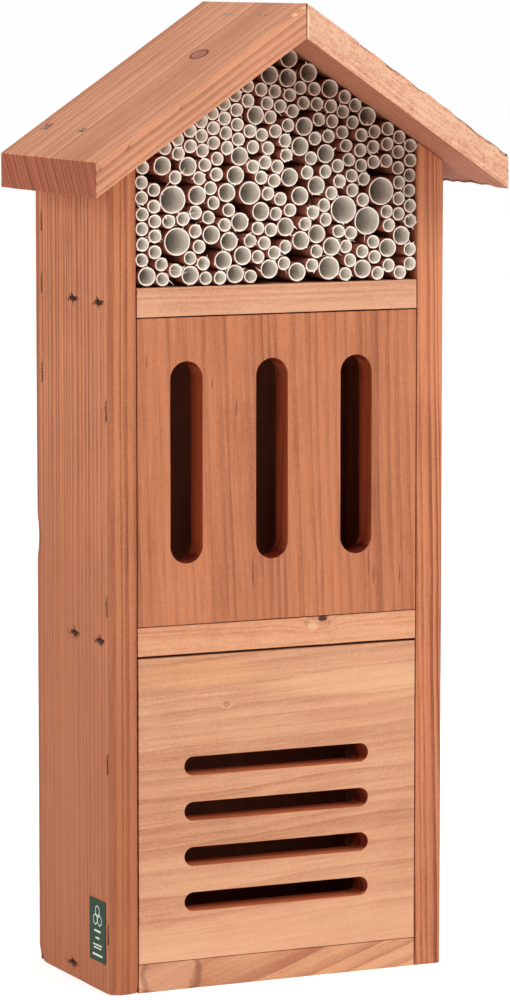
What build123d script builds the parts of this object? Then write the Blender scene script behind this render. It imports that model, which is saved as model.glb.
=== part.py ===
from build123d import *
import math
import os
import random

# Insect hotel: a stapled cedar box with a gable roof. The gable bay holds paper tubes for
# solitary bees, and two slotted panels close the bays below for butterflies and lacewings.
# Millimetres. +Z up, the front faces -Y, and the origin is the middle of the outline's base.

# ---- boards ----
board = 15.0                 # thickness of the sides, shelves, bottom, roof and front panels
back_board = 12.0            # thickness of the back panel
box_width = 187.0            # over the two side boards
box_depth = 96.0             # side boards, front edge to back edge
lower_bay = 157.5            # bottom board to middle shelf, clear height
upper_bay = 156.0            # middle shelf to upper shelf, clear height
gable_wall = 70.5            # upper shelf to the roof, measured at a side board's inner face
back_recess = 1.5            # the back panel lies this far in from the side boards' back edges

# ---- roof ----
roof_slope = 34.0            # degrees
side_overhang = 20.5         # side board to the plumb-cut eave
front_overhang = 32.5        # roof in front of the box
roof_back_setback = 4.0      # roof's back edge, in from the side boards' back edges

# ---- front panels ----
panel_side_gap = 0.3         # each side of a front panel
upper_panel_gap = 0.2        # over the upper panel
lower_panel_gap = 1.0        # over the lower panel
tall_slot_count = 3
tall_slot_width = 17.4
# Outer slots' centres to the left and right board, slot ends to the panel's foot and top.
tall_slot_margins = (27.3, 34.7, 31.5, 22.5)
long_slot_count = 4
long_slot_height = 9.3
# Slot ends to the left and right board, outer slots' centres to the panel's foot and top.
long_slot_margins = (26.0, 27.6, 30.0, 56.5)
cutter_overrun = 1.0         # a cutter goes this far past the faces that it opens

# ---- paper tubes ----
tube_wall = 0.7
large_tube = 14.4            # outer diameters
wide_tube = 12.0
medium_tube = 9.7
small_tube = 7.2
tube_gap = 0.15              # least room between two tubes, or a tube and a board
small_tube_slack = 0.18      # how far a small tube may shift in the place it takes
tube_recess = (0.3, 1.8)     # tube mouths lie this far behind the front edges
squeeze_share = 0.45         # a gap this much too tight still takes one more small tube
gap_step = 1.2               # the gaps are looked for on a grid of this step
settle_steps = 300
push_share = 0.5             # of an overlap, taken up by each of the two tubes in a step
small_tube_layers = 4        # the small tubes are kept in this many nodes, lowest first

# Wanted places of the bigger tubes: across from the middle, and up from the upper shelf.
large_tube_places = [
    (large_tube, -58.0, 43.5), (large_tube, -55.5, 22.5), (wide_tube, -15.5, 46.0),
    (large_tube, 37.0, 36.5), (large_tube, 58.0, 45.5), (large_tube, 50.5, 30.5),
    (wide_tube, 29.0, 7.0),
]
medium_tube_places = [
    [(-72.0, 5.5), (-48.5, 5.5), (-23.5, 5.5), (-5.0, 7.5), (11.0, 5.5), (48.0, 6.0)],
    [(-30.5, 12.5), (-20.0, 14.5), (30.0, 17.5), (62.0, 16.5), (70.0, 22.5)],
    [(-37.0, 25.5), (-27.5, 22.0), (4.5, 28.5), (12.5, 21.5), (22.0, 24.5)],
    [(-45.0, 45.5), (-28.5, 46.5), (-21.0, 31.5), (-10.0, 37.0), (12.0, 44.0), (21.5, 49.0)],
    [(-63.5, 60.5), (-49.5, 60.0), (-23.5, 55.0), (-21.0, 64.5), (6.5, 53.5), (27.0, 65.0)],
    [(12.0, 69.0), (14.5, 79.0), (50.5, 84.0), (-12.5, 85.0), (30.0, 99.0)],
    [(-4.5, 105.0), (5.5, 103.5), (18.0, 107.0), (10.0, 112.0)],
]

# ---- staples ----
staple_crown = 10.6
staple_leg = 22.0
staple_wire = 1.2
staple_tip = 2.0             # the slanted part of each leg's point
side_staple_sink = 0.6       # crowns under the face of the side boards and the back panel
roof_staple_sink = 0.25
shelf_staple_places = (14.0, 47.0)       # behind the front edge, into each shelf
bottom_staple_places = (51.0,)           # behind the front edge, into the bottom board
panel_staple_inset = 5.0                 # behind the front edge, into the front panels
upper_panel_staples = (10.5, 46.5)       # in from the panel's foot and from its top
lower_panel_staples = (15.5, 53.5)
back_staple_drops = (31.0, 63.0, 109.0)  # below the roof, into the back panel's edges
back_shelf_spread = 44.0                 # across from the middle, through the back panel
eave_staple_places = (13.5, 60.0)        # in front of the roof's back edge
ridge_staple_places = (51.5, 94.0)
ridge_staple_inset = 10.2                # across from the ridge
ridge_staple_dip = 20.0                  # degrees below level

# ---- hanger ----
hanger_width = 50.0
hanger_height = 24.0
hanger_thickness = 1.2
hanger_corner = 6.0
hanger_drop = 32.0           # its middle below the roof's underside at the ridge
keyhole_radius = 4.5         # lets the wall screw's head through
keyslot_radius = 2.2         # holds the wall screw's neck
keyhole_rise = 9.0           # from the entry to the top of the slot
pocket_margin = 1.2          # pocket behind the keyhole, round the screw's head
pocket_depth = 6.0
screw_spread = 18.0          # across from the middle
screw_head_radius = 3.1
screw_shank_radius = 1.6
screw_length = 10.0
screw_point = 2.0
screw_slot = (4.2, 0.8, 0.7)  # long, wide and deep

# ---- label ----
label_size = (20.5, 32.0, 0.2)   # deep, tall and thick
label_place = (7.0, 15.0)        # behind the front edge and up from the base

# ---- worked out ----
tan_slope = math.tan(math.radians(roof_slope))
plumb_thickness = board / math.cos(math.radians(roof_slope))
half_width = box_width / 2
inner_half = half_width - board
roof_half = half_width + side_overhang
middle_shelf_top = board + lower_bay + board
upper_shelf_top = middle_shelf_top + upper_bay + board
roof_apex = upper_shelf_top + gable_wall + inner_half * tan_slope
overall_height = roof_apex + plumb_thickness
overall_depth = front_overhang + box_depth
roof_front = -overall_depth / 2
box_front = roof_front + front_overhang
box_back = box_front + box_depth
roof_back = box_back - roof_back_setback
panel_back = box_back - back_recess
panel_front = panel_back - back_board


def roof_underside(x):
    """Height of the roof's underside at a distance x across from the ridge."""
    return roof_apex - abs(x) * tan_slope


def prism(points, y0, y1):
    """A profile given as (x, z) points, carried straight from y0 to y1."""
    outline = Polyline([(x, y0, z) for x, z in points], close=True)
    return extrude(make_face(outline), amount=y1 - y0, dir=(0, 1, 0))


def block(x0, x1, y0, y1, z0, z1):
    """A box between two corners."""
    middle = Pos((x0 + x1) / 2, (y0 + y1) / 2, (z0 + z1) / 2)
    return middle * Box(x1 - x0, y1 - y0, z1 - z0)


def along_y(shape, x, y, z):
    """A shape made along +Z, turned to run along -Y, with its base at (x, y, z)."""
    return Location((x, y, z), (90, 0, 0)) * shape


# ---------------------------------------------------------------- boards
def side_board(side):
    inner = side * inner_half
    outer = side * half_width
    points = [(inner, 0), (outer, 0), (outer, roof_underside(outer))]
    return prism(points + [(inner, roof_underside(inner))], box_front, box_back)


def shelf(top):
    return block(-inner_half, inner_half, box_front, panel_front, top - board, top)


def back_panel():
    points = [(-inner_half, 0), (inner_half, 0), (inner_half, roof_underside(inner_half))]
    points += [(0, roof_apex), (-inner_half, roof_underside(inner_half))]
    return prism(points, panel_front, panel_back)


def roof_board(side):
    eave = side * roof_half
    drop = roof_half * tan_slope
    points = [(0, overall_height), (eave, overall_height - drop)]
    points += [(eave, roof_apex - drop), (0, roof_apex)]
    return prism(points, roof_front, roof_back)


def front_panel(foot, top):
    half = inner_half - panel_side_gap
    return block(-half, half, box_front, box_front + board, foot, top)


def spread(low, high, count):
    """Evenly spaced places from low to high."""
    return [low + (high - low) * i / (count - 1) for i in range(count)]


def slot_cutter(x, z, width, height):
    """A round-ended slot right through a front panel, centred at (x, z)."""
    if width > height:
        outline = SlotOverall(width, height)
    else:
        outline = SlotOverall(height, width, rotation=90)
    start = (x, box_front - cutter_overrun, z)
    face = Plane(origin=start, x_dir=(1, 0, 0), z_dir=(0, -1, 0)) * outline
    return extrude(face, amount=board + 2 * cutter_overrun, dir=(0, 1, 0))


upper_panel_foot = middle_shelf_top
upper_panel_top = upper_shelf_top - board - upper_panel_gap
lower_panel_foot = board
lower_panel_top = middle_shelf_top - board - lower_panel_gap

slot_left, slot_right, slot_foot, slot_head = tall_slot_margins
tall_slot_length = upper_panel_top - upper_panel_foot - slot_foot - slot_head
tall_slot_z = upper_panel_foot + slot_foot + tall_slot_length / 2
tall_slots = [
    (x, tall_slot_z, tall_slot_width, tall_slot_length)
    for x in spread(slot_left - inner_half, inner_half - slot_right, tall_slot_count)
]
slot_left, slot_right, slot_foot, slot_head = long_slot_margins
long_slot_length = 2 * inner_half - slot_left - slot_right
long_slot_x = (slot_left - slot_right) / 2
long_slots = [
    (long_slot_x, z, long_slot_length, long_slot_height)
    for z in spread(lower_panel_foot + slot_foot, lower_panel_top - slot_head, long_slot_count)
]

parts = {
    "bottom_board": shelf(board),
    "side_board_left": side_board(-1),
    "side_board_right": side_board(1),
    "back_panel": back_panel(),
    "middle_shelf": shelf(middle_shelf_top),
    "upper_shelf": shelf(upper_shelf_top),
    "lower_slotted_panel": front_panel(lower_panel_foot, lower_panel_top),
    "upper_slotted_panel": front_panel(upper_panel_foot, upper_panel_top),
    "roof_board_left": roof_board(-1),
    "roof_board_right": roof_board(1),
}
for place in tall_slots:
    parts["upper_slotted_panel"] -= slot_cutter(*place)
for place in long_slots:
    parts["lower_slotted_panel"] -= slot_cutter(*place)

# ---------------------------------------------------------------- paper tubes
# The gable bay's walls as (across, up, offset): a point (x, z) is inside, z being counted up
# from the upper shelf, where across * x + up * z - offset is positive.
sine = math.sin(math.radians(roof_slope))
cosine = math.cos(math.radians(roof_slope))
bay_peak = roof_apex - upper_shelf_top
bay_walls = [
    (0.0, 1.0, 0.0), (1.0, 0.0, -inner_half), (-1.0, 0.0, -inner_half),
    (sine, -cosine, -bay_peak * cosine), (-sine, -cosine, -bay_peak * cosine),
]
touching = 1e-6


def room(x, z):
    """Distance from a point in the bay to the nearest wall, negative outside."""
    return min(across * x + up * z - offset for across, up, offset in bay_walls)


def is_free(x, z, reach, circles):
    """Whether a circle of radius reach at (x, z) is clear of the walls and the other circles."""
    if room(x, z) < reach - touching:
        return False
    for cx, cz, other in circles:
        if math.hypot(x - cx, z - cz) < reach + other - touching:
            return False
    return True


def crossings(first, second):
    """Where two boundaries cross. A boundary is a wall or a circle that a centre may lie on."""
    if len(first) == len(second) == 4:
        a, b, c = first[:3]
        d, e, f = second[:3]
        det = a * e - b * d
        return [((c * e - b * f) / det, (a * f - c * d) / det)] if abs(det) > touching else []
    if len(second) == 4:
        first, second = second, first
    cx, cz, radius = second
    if len(first) == 4:
        across, up, offset = first[:3]
        away = across * cx + up * cz - offset
        foot_x, foot_z = cx - across * away, cz - up * away
        along_x, along_z = -up, across
    else:
        dx, dz = first[0] - cx, first[1] - cz
        apart = math.hypot(dx, dz)
        if apart < touching:
            return []
        away = (apart**2 + radius**2 - first[2]**2) / (2 * apart)
        foot_x, foot_z = cx + dx * away / apart, cz + dz * away / apart
        along_x, along_z = -dz / apart, dx / apart
    if abs(away) > radius:
        return []
    half = math.sqrt(radius**2 - away**2)
    return [
        (foot_x + along_x * half, foot_z + along_z * half),
        (foot_x - along_x * half, foot_z - along_z * half),
    ]


def boundaries(reach, circles):
    """The lines and circles that the centre of a tube of this reach may lie on."""
    lines = [(across, up, offset + reach, "wall") for across, up, offset in bay_walls]
    return lines + [(cx, cz, other + reach) for cx, cz, other in circles]


def nearest_free_place(x, z, reach, circles):
    """The free place nearest to a wanted one: there, beside one neighbour, or between two."""
    limits = boundaries(reach, circles)
    places = [(x, z)]
    for limit in limits:
        if len(limit) == 4:
            away = limit[0] * x + limit[1] * z - limit[2]
            places.append((x - limit[0] * away, z - limit[1] * away))
        else:
            apart = max(math.hypot(x - limit[0], z - limit[1]), touching)
            share = limit[2] / apart
            places.append((limit[0] + (x - limit[0]) * share, limit[1] + (z - limit[1]) * share))
    for i, first in enumerate(limits):
        for second in limits[:i]:
            places += crossings(first, second)
    places.sort(key=lambda place: math.hypot(place[0] - x, place[1] - z))
    return next(place for place in places if is_free(*place, reach, circles))


def small_tube_spots(circles, slack):
    """Fills what is left of the bay with small tubes, along the walls first, then inwards."""
    reach = small_tube / 2 + tube_gap / 2 + slack
    limits = boundaries(reach, circles)
    places = []
    for i, first in enumerate(limits):
        for second in limits[:i]:
            places += crossings(first, second)
    spots = []
    while places:
        places = [place for place in places if is_free(*place, reach, circles)]
        if not places:
            break
        x, z = min(places, key=lambda place: (round(room(*place), 1), round(place[1], 3), place[0]))
        spots.append((x, z))
        circles.append((x, z, reach))
        newest = (x, z, 2 * reach)
        for limit in limits:
            places += crossings(limit, newest)
        limits.append(newest)
    return spots


def crowding(x, z, neighbours, reach):
    """How far a small tube at (x, z) overlaps its walls and neighbours, and the push away."""
    push_x, push_z, worst = 0.0, 0.0, 0.0
    for across, up, offset in bay_walls:
        lack = reach - (across * x + up * z - offset)
        if lack > 0:
            push_x, push_z, worst = push_x + across * lack, push_z + up * lack, max(worst, lack)
    for cx, cz, other in neighbours:
        apart = max(math.hypot(x - cx, z - cz), touching)
        lack = reach + other - apart
        if lack > 0:
            push_x += (x - cx) / apart * lack * push_share
            push_z += (z - cz) / apart * lack * push_share
            worst = max(worst, lack)
    return push_x, push_z, worst


def settle(spots, fixed, reach):
    """Pushes overlapping small tubes apart, step by step. None where they can't come clear."""
    spots = list(spots)
    span = 4 * reach
    bigger = [[c for c in fixed if math.dist(c[:2], spot) < span + c[2]] for spot in spots]
    like = [[j for j, other in enumerate(spots) if 0 < math.dist(other, spot) < span]
            for spot in spots]
    for _ in range(settle_steps):
        worst = 0.0
        for i, (x, z) in enumerate(spots):
            around = bigger[i] + [(*spots[j], reach) for j in like[i]]
            push_x, push_z, lack = crowding(x, z, around, reach)
            spots[i] = (x + push_x, z + push_z)
            worst = max(worst, lack)
        if worst < touching:
            return spots
    return None


def clearance(x, z, fixed, spots, reach):
    """Room round a point, measured past a small tube's own reach."""
    circles = fixed + [(a, b, reach) for a, b in spots]
    return min(room(x, z), min(math.hypot(x - a, z - b) - r for a, b, r in circles)) - reach


def squeeze_in(spots, fixed):
    """Presses further small tubes into the widest gaps and lets the others make way."""
    reach = small_tube / 2 + tube_gap / 2 + touching
    gaps = []
    for column in range(int(2 * inner_half / gap_step)):
        for row in range(int(bay_peak / gap_step)):
            x, z = (column + 0.5) * gap_step - inner_half, (row + 0.5) * gap_step
            gap = clearance(x, z, fixed, spots, reach)
            if gap > -reach * squeeze_share:
                gaps.append((-gap, x, z))
    for _, x, z in sorted(gaps):
        if clearance(x, z, fixed, spots, reach) > -reach * squeeze_share:
            spots = settle(spots + [(x, z)], fixed, reach) or spots
    return spots


tube_shifts = random.Random(11)


def paper_tube(diameter, x, z):
    """A tube from a little behind the front edges back to the back panel."""
    mouth = box_front + tube_shifts.uniform(*tube_recess)
    length = panel_front - mouth
    ring = Circle(diameter / 2) - Circle(diameter / 2 - tube_wall)
    return along_y(extrude(ring, amount=length), x, panel_front, upper_shelf_top + z)


def place_tube(diameter, x, z):
    reach = diameter / 2 + tube_gap / 2
    x, z = nearest_free_place(x, z, reach, taken)
    taken.append((x, z, reach))
    return x, z


taken = []
large_spots = [(size, *place_tube(size, x, z)) for size, x, z in large_tube_places]
medium_spots = [[place_tube(medium_tube, x, z) for x, z in row] for row in medium_tube_places]
small_spots = []
for slack in (small_tube_slack, 0.0):
    for x, z in small_tube_spots(taken, slack):
        turn = tube_shifts.uniform(0, 2 * math.pi)
        shift = slack * math.sqrt(tube_shifts.random())
        small_spots.append((x + shift * math.cos(turn), z + shift * math.sin(turn)))
fixed_tubes = [(x, z, d / 2 + tube_gap / 2) for d, x, z in large_spots]
fixed_tubes += [(x, z, medium_tube / 2 + tube_gap / 2) for row in medium_spots for x, z in row]
small_spots = squeeze_in(small_spots, fixed_tubes)
small_spots.sort(key=lambda spot: spot[1])

for number, (diameter, x, z) in enumerate(large_spots, 1):
    parts[f"large_tube_{number}"] = paper_tube(diameter, x, z)
for number, row in enumerate(medium_spots, 1):
    tubes = [paper_tube(medium_tube, x, z) for x, z in row]
    parts[f"medium_tubes_row_{number}"] = Compound(children=tubes)
for number in range(small_tube_layers):
    first = len(small_spots) * number // small_tube_layers
    last = len(small_spots) * (number + 1) // small_tube_layers
    tubes = [paper_tube(small_tube, x, z) for x, z in small_spots[first:last]]
    parts[f"small_tubes_layer_{number + 1}"] = Compound(children=tubes)


# ---------------------------------------------------------------- staples
def staple_profile():
    """A U of flat wire: the crown along X at the top, the legs down to slanted points."""
    half = staple_crown / 2
    inner = half - staple_wire
    right = [(half, 0), (half, staple_tip - staple_leg), (inner, -staple_leg)]
    right.append((inner, -staple_wire))
    return right + [(-x, z) for x, z in reversed(right)]


def place_staples(name, places, crown_way, out_way, sink, boards):
    """Staples driven against out_way at each place, with holes to suit in the boards."""
    shape = prism(staple_profile(), -staple_wire / 2, staple_wire / 2)
    half_crown, half_wire = staple_crown / 2, staple_wire / 2
    dent = block(-half_crown, half_crown, -half_wire, half_wire, 0, sink + cutter_overrun)
    staples = []
    for place in places:
        face = Plane(origin=place, x_dir=crown_way, z_dir=out_way)
        spot = face.location * Pos(0, 0, -sink)
        staples.append(spot * shape)
        for board_name in boards:
            parts[board_name] -= spot * (shape + dent)
    parts[name] = Compound(children=staples)


shelf_heights = (upper_shelf_top - board / 2, middle_shelf_top - board / 2)
bottom_height = board / 2
for side, word in ((-1, "left"), (1, "right")):
    face_x = side * half_width
    outward = (side, 0, 0)
    side_name = f"side_board_{word}"
    places = [(face_x, box_front + y, z) for z in shelf_heights for y in shelf_staple_places]
    places += [(face_x, box_front + y, bottom_height) for y in bottom_staple_places]
    place_staples(
        f"shelf_staples_{word}", places, (0, 1, 0), outward, side_staple_sink,
        [side_name, "upper_shelf", "middle_shelf", "bottom_board"],
    )
    heights = [
        upper_panel_foot + upper_panel_staples[0], upper_panel_top - upper_panel_staples[1],
        lower_panel_foot + lower_panel_staples[0], lower_panel_top - lower_panel_staples[1],
    ]
    place_staples(
        f"panel_staples_{word}", [(face_x, box_front + panel_staple_inset, z) for z in heights],
        (0, 0, 1), outward, side_staple_sink,
        [side_name, "upper_slotted_panel", "lower_slotted_panel"],
    )
    heights = [roof_underside(half_width) - drop for drop in back_staple_drops]
    middle = (panel_front + panel_back) / 2
    place_staples(
        f"back_staples_{word}", [(face_x, middle, z) for z in heights], (0, 0, 1), outward,
        side_staple_sink, [side_name, "back_panel"],
    )
    # square to the slope, aimed at the middle of the side board's top
    aim = half_width - board / 2
    across = aim + board * sine
    up = roof_underside(aim) + board * cosine
    places = [(side * across, roof_back - y, up) for y in eave_staple_places]
    place_staples(
        f"eave_staples_{word}", places, (0, 1, 0), (side * sine, 0, cosine), roof_staple_sink,
        [f"roof_board_{word}", side_name],
    )

places = [
    (x, panel_back, z)
    for z in (*shelf_heights, bottom_height)
    for x in (-back_shelf_spread, back_shelf_spread)
]
place_staples(
    "back_panel_staples", places, (1, 0, 0), (0, 1, 0), side_staple_sink,
    ["back_panel", "upper_shelf", "middle_shelf", "bottom_board"],
)
dip = math.radians(ridge_staple_dip)
ridge_z = overall_height - ridge_staple_inset * tan_slope
places = [(-ridge_staple_inset, roof_back - y, ridge_z) for y in ridge_staple_places]
place_staples(
    "ridge_staples", places, (0, 1, 0), (-math.cos(dip), 0, math.sin(dip)), roof_staple_sink,
    ["roof_board_left", "roof_board_right"],
)

# ---------------------------------------------------------------- hanger
hanger_z = roof_apex - hanger_drop
hanger_back = panel_back + hanger_thickness
keyhole_z = hanger_z - keyhole_rise / 2
keyhole_top = keyhole_z + keyhole_rise


def keyhole(entry_radius, slot_radius, front, back):
    """A round entry with a narrower slot above it, cut from y front to y back."""
    entry = Pos(0, keyhole_z) * Circle(entry_radius)
    top = Pos(0, keyhole_top) * Circle(slot_radius)
    neck = Pos(0, (keyhole_z + keyhole_top) / 2) * Rectangle(2 * slot_radius, keyhole_rise)
    face = Plane(origin=(0, back, 0), x_dir=(1, 0, 0), z_dir=(0, -1, 0)) * (entry + top + neck)
    return extrude(face, amount=back - front, dir=(0, -1, 0))


def screw_blank(x):
    """A countersunk wood screw before its slot is cut, its head flush with the plate."""
    head_depth = screw_head_radius - screw_shank_radius
    half = [(0, 0), (screw_head_radius, 0), (screw_shank_radius, head_depth)]
    half += [(screw_shank_radius, screw_length - screw_point), (0, screw_length)]
    outline = Plane.XZ * make_face(Polyline(half, close=True))
    return along_y(revolve(outline, Axis.Z), x, hanger_back, hanger_z)


plate = RectangleRounded(hanger_width, hanger_height, hanger_corner)
plate_face = Plane(origin=(0, hanger_back, hanger_z), x_dir=(1, 0, 0), z_dir=(0, -1, 0)) * plate
hanger = extrude(plate_face, amount=hanger_thickness, dir=(0, -1, 0))
open_front, open_back = panel_back - cutter_overrun, hanger_back + cutter_overrun
hanger -= keyhole(keyhole_radius, keyslot_radius, open_front, open_back)
pocket_radius = keyhole_radius + pocket_margin
parts["back_panel"] -= keyhole(pocket_radius, pocket_radius, panel_back - pocket_depth, panel_back)
for side, word in ((-1, "left"), (1, "right")):
    blank = screw_blank(side * screw_spread)
    hanger -= blank
    parts["back_panel"] -= blank
    slot_long, slot_wide, slot_deep = screw_slot
    slot_place = Pos(side * screw_spread, hanger_back - slot_deep / 2, hanger_z)
    parts[f"hanger_screw_{word}"] = blank - slot_place * Box(slot_long, slot_deep, slot_wide)
parts["hanger_plate"] = hanger

# ---------------------------------------------------------------- label
label_y = box_front + label_place[0]
parts["green_label"] = block(
    -half_width - label_size[2], -half_width, label_y, label_y + label_size[0],
    label_place[1], label_place[1] + label_size[1],
)

os.makedirs("parts", exist_ok=True)
for name, shape in parts.items():
    export_step(shape, f"parts/{name}.step")
print(len(parts), "nodes,", len(small_spots), "small tubes, height", round(overall_height, 2))
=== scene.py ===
import math

import bpy
import numpy as np
from mathutils import Euler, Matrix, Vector


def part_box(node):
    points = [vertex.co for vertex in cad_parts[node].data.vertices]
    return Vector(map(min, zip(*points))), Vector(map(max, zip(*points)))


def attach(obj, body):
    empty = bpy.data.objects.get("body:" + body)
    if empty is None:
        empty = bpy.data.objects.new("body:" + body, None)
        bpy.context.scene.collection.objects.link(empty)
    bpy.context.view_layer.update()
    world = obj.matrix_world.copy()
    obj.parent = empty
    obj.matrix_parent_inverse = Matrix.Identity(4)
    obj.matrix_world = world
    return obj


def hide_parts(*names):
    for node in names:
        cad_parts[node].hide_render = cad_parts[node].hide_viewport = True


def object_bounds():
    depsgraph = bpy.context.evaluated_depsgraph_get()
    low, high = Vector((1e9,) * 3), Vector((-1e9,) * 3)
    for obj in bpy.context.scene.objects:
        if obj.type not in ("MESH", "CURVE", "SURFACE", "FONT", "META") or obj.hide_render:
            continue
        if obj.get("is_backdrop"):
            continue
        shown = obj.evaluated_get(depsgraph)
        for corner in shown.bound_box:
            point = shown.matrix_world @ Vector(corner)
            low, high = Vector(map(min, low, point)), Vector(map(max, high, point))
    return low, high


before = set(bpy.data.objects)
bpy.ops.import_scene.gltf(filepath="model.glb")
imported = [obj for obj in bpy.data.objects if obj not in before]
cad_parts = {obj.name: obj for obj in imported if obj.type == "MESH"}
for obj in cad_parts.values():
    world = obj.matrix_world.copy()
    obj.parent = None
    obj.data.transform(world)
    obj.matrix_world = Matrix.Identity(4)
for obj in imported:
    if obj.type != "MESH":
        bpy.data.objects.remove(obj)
cad_low, cad_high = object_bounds()

# ---------------------------------------------------------------- bottom board
# One sawn cedar board, stapled between the foot of the two side boards. It was cut beside a
# branch, so its grain runs askew and curved checks open round the knot at its left end.
mm = 0.001
sawn_step = 1.6 * mm         # distance between the points of a sawn face
eased = 0.7 * mm             # radius of a board's eased edges
raw_waves = 14               # seeded waves that make up a sawn face's unevenness


def lines_across(low, high, ease, step, marks=()):
    """Places of the grid lines from low to high: at 45, 22.5 and 0 degrees of each eased edge,
    evenly between the two, and at the marks, which hold a finer cut."""
    turn = ease * np.tan(np.radians([45, 22.5]))
    count = max(int(round((high - low - 2 * ease) / step)), 1)
    even = np.linspace(low + ease, high - ease, count + 1)
    inside = [m for m in marks if low + ease < m < high - ease]
    lines = np.concatenate([low + ease - turn, even, inside, high - ease + turn])
    return np.unique(np.round(lines / 1e-8)) * 1e-8


def grid_faces(nu, nv, closed=False):
    """Four-cornered faces of a grid of nu by nv points, joined up round u where it is closed."""
    i, j = np.meshgrid(np.arange(nu if closed else nu - 1), np.arange(nv - 1), indexing="ij")
    k = (i + 1) % nu
    return np.stack([i * nv + j, k * nv + j, k * nv + j + 1, i * nv + j + 1], -1).reshape(-1, 4)


def weld(points, faces):
    """Merges the points that lie in one place. The small offset keeps even numbers off the
    edge where rounding turns."""
    places = np.round(points / (0.002 * mm) + 0.1234)
    _, first, name = np.unique(places, axis=0, return_index=True, return_inverse=True)
    return points[first], name.reshape(-1)[faces]


def soft_block(low, high, ease=eased, step=sawn_step, marks=((), (), ())):
    """A board with eased edges. Each of its six faces is a grid of two parameters on the box
    from low to high, and each point p moves to q + ease * (p - q) / |p - q|, where q is the
    nearest point of the box that is smaller by ease all round."""
    low, high = np.array(low), np.array(high)
    lines = [lines_across(low[k], high[k], ease, step, marks[k]) for k in range(3)]
    points, faces, count = [], [], 0
    for axis in range(3):
        second, third = (axis + 1) % 3, (axis + 2) % 3
        across, up = np.meshgrid(lines[second], lines[third], indexing="ij")
        for end, turned in ((low[axis], -1), (high[axis], 1)):
            grid = np.empty(across.shape + (3,))
            grid[..., axis], grid[..., second], grid[..., third] = end, across, up
            faces.append(grid_faces(*across.shape)[:, ::turned] + count)
            points.append(grid.reshape(-1, 3))
            count += across.size
    points = np.concatenate(points)
    inner = np.clip(points, low + ease, high - ease)
    out = points - inner
    points = inner + ease * out / np.linalg.norm(out, axis=1, keepdims=True)
    return weld(points, np.concatenate(faces))


def outward(points, faces):
    """Unit normals: the sum of the crossed diagonals of the faces that meet at each point."""
    a, b = points[faces[:, 2]] - points[faces[:, 0]], points[faces[:, -1]] - points[faces[:, 1]]
    normals = np.zeros_like(points)
    np.add.at(normals, faces.ravel(), np.repeat(np.cross(a, b), faces.shape[1], axis=0))
    return normals / np.maximum(np.linalg.norm(normals, axis=1, keepdims=True), 1e-12)


# Short waves that make a dent's edge ragged: radians to the millimetre each way, and phase.
tear_waves = [((0.4, 2.1, 1.1), 0.3), ((0.3, -1.3, 2.4), 1.9), ((2.2, 0.9, -0.8), 4.0),
              ((-1.5, 3.1, 0.6), 5.1)]


class Board:
    """A board's points, faces and normals, and how worn and torn it is at each point."""

    def __init__(self, points, faces):
        self.points, self.faces = points, faces
        self.normals = outward(points, faces)
        self.wear = np.zeros(len(points))
        self.routed = np.zeros(len(points))

    def saw(self, depth, seed, shortest=6 * mm, longest=60 * mm):
        """Lets the faces in by depth at the most: the mean of plane waves (1 + sin(k.p + a)) / 2
        whose directions, lengths and phases are drawn from the seed."""
        draw = np.random.default_rng(seed)
        ways = draw.normal(size=(raw_waves, 3))
        ways /= np.linalg.norm(ways, axis=1, keepdims=True)
        lengths = np.geomspace(shortest, longest, raw_waves)
        turns = draw.uniform(0, 2 * math.pi, raw_waves)
        waves = 0.5 + 0.5 * np.sin(self.points @ (ways * 2 * math.pi / lengths[:, None]).T + turns)
        share = lengths ** 0.5 / (lengths ** 0.5).sum()
        self.points = self.points - self.normals * (depth * (waves @ share))[:, None]
        return self

    def press(self, centre, size, depth, wear=1.0, power=4, ragged=0.0):
        """Presses the surface in by depth * exp(-s ** power), where s is the distance from the
        centre in units of size, as a fourth-power sum so that the dent is squarish. Ragged
        stretches s by short waves, so that the dent's edge is torn."""
        away = self.points - np.array(centre)
        s = (np.abs(away / np.array(size)) ** 4).sum(axis=1) ** 0.25
        tear = sum(np.sin(away @ np.array(way) / mm + turn) for way, turn in tear_waves)
        fall = np.exp(-np.clip(s + ragged * tear * np.minimum(s, 1), 0, 9) ** power)
        self.points = self.points - self.normals * (depth * fall)[:, None]
        self.wear = np.maximum(self.wear, wear * fall)
        return self


def set_piece(name, board, finish, nodes):
    """Puts a worked-out surface into a mesh of its own, in place of the CAD nodes named."""
    mesh = bpy.data.meshes.new(name)
    mesh.from_pydata(board.points.tolist(), [], board.faces.tolist())
    mesh.attributes.new("wear", "FLOAT", "POINT").data.foreach_set("value", board.wear)
    mesh.attributes.new("routed", "FLOAT", "POINT").data.foreach_set("value", board.routed)
    mesh.polygons.foreach_set("use_smooth", np.ones(len(mesh.polygons), bool))
    mesh.materials.append(finish)
    piece = bpy.data.objects.new(name, mesh)
    bpy.context.collection.objects.link(piece)
    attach(piece, "root")
    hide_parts(*nodes)
    return piece


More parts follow.
